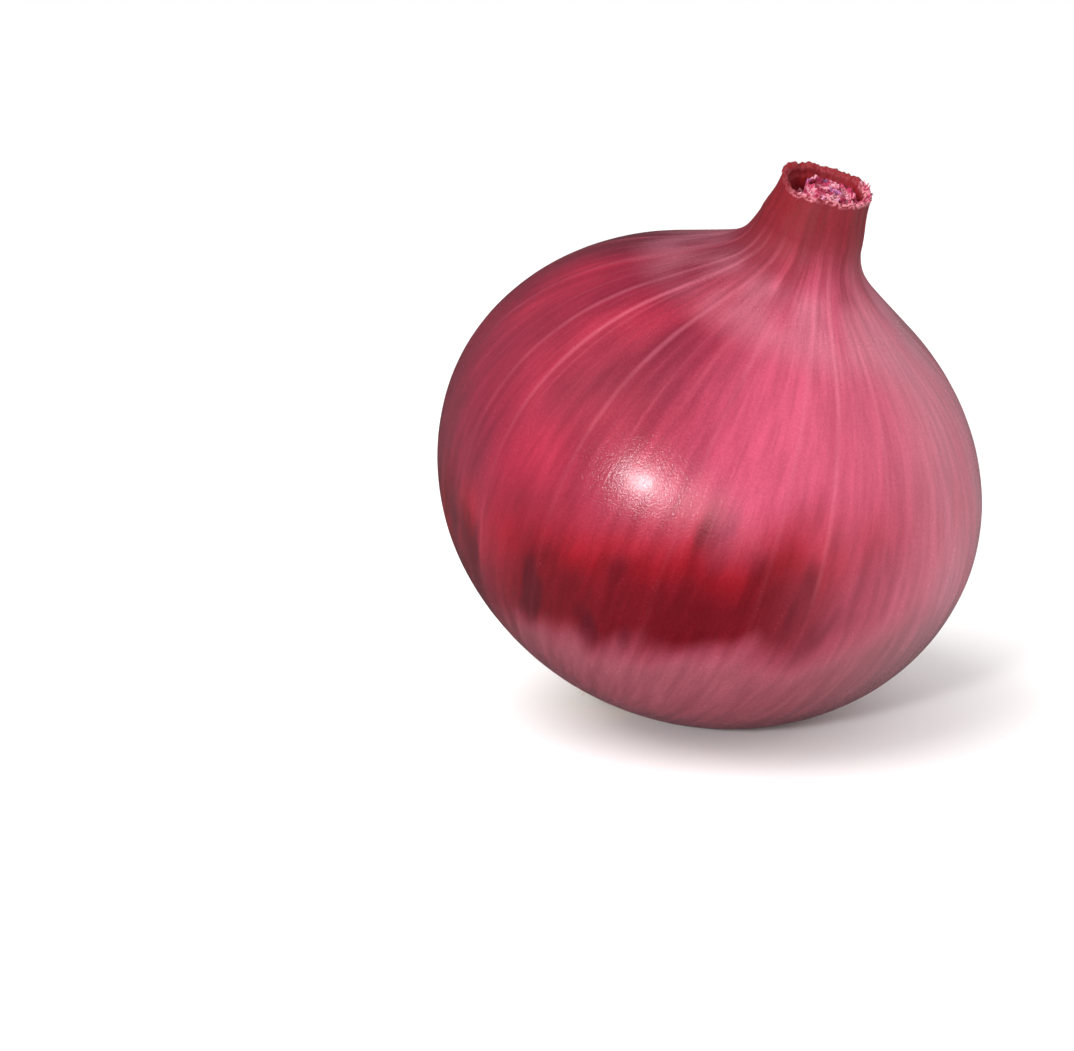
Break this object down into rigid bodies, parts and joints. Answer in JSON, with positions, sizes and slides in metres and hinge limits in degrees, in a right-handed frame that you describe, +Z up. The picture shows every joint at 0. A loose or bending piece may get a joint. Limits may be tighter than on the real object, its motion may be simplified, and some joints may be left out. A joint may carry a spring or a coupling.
{
  "type": "onion",
  "caption": "Whole red onion bulb lying at rest on a small settled flat, with its cut dry neck and its trimmed root crown.",
  "frame": {"origin": "middle of the small settled flat on which the onion rests, on the surface that it lies on", "axes": "+Z straight up from that surface; the onion's own axis, from root to neck, leans 23.7 degrees from +Z, towards +X and a little towards -Y"},
  "size_m": [0.0791, 0.0792, 0.0821],
  "materials": {
    "onion_skin": "taut satin dry skin, crimson with pale ribs",
    "leaf_ends": "matt, crumpled dry leaf",
    "root_crown": "rough corky disc with dry trimmed roots"
  },
  "bodies": {
    "root": {"bulb": "onion_skin", "neck_leaf_ends": "leaf_ends", "root_crown": "root_crown"}
  },
  "joints": []
}
